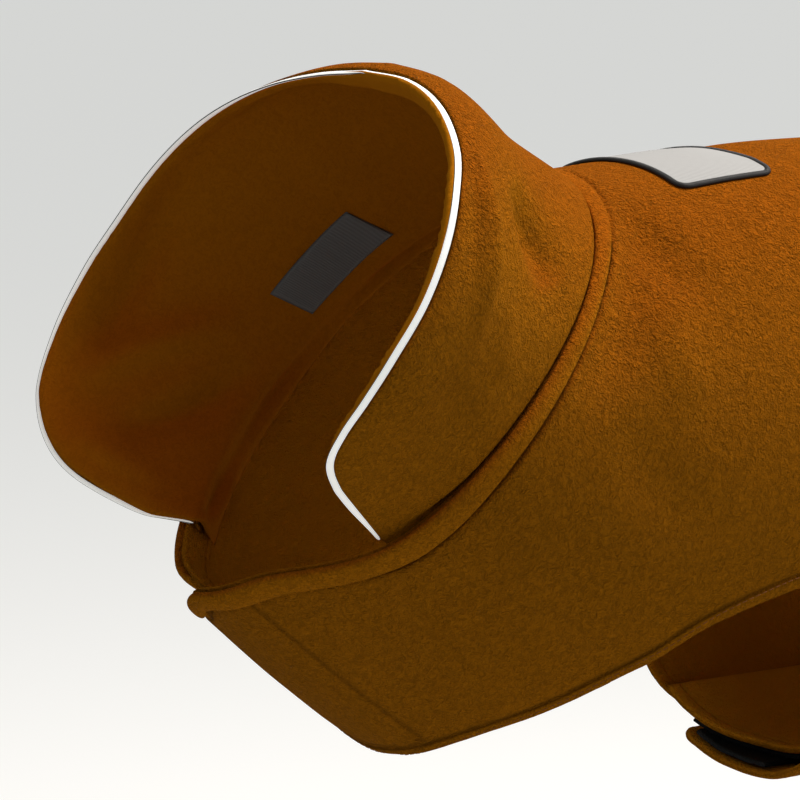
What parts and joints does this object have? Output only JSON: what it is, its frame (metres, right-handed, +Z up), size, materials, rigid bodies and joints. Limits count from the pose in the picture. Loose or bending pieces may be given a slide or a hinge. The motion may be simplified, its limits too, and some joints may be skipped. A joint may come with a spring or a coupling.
{
  "type": "dog coat",
  "caption": "Fleece dog coat with a stand collar, reflective collar piping, overlapping chest flaps and a lapped belly strap, in its worn shape with nobody in it.",
  "frame": {"origin": "on the inner face of the back, just behind the neck seam, where the coat lies on the wearer's withers", "axes": "-X towards the head, +X towards the tail, -Y the wearer's left, +Y the wearer's right, +Z up, away from the wearer's back"},
  "size_m": [0.8103, 0.266, 0.3483],
  "materials": {
    "fleece_outer": "short dense fleece pile, matt, with a soft sheen at grazing angles",
    "fleece_inner": "smooth brushed fleece, matt",
    "reflective_piping": "smooth reflective tape",
    "closure_tape": "black hook and loop tape",
    "woven_label": "fine satin weave, bare",
    "patch_field": "light grey felted field, bare",
    "patch_border": "black bound edge"
  },
  "bodies": {
    "root": {"main_panel": "fleece_outer", "neck_band": "fleece_outer", "belly_strap_left": "fleece_outer", "belly_strap_right": "fleece_outer", "collar_outer": "fleece_outer", "collar_inner": "fleece_inner", "collar_piping": "reflective_piping", "chest_loop_tape": "closure_tape", "chest_hook_tape": "closure_tape", "belly_loop_tape": "closure_tape", "belly_hook_tape": "closure_tape", "size_label": "woven_label", "back_patch": "patch_field", "patch_border": "patch_border"}
  },
  "joints": []
}
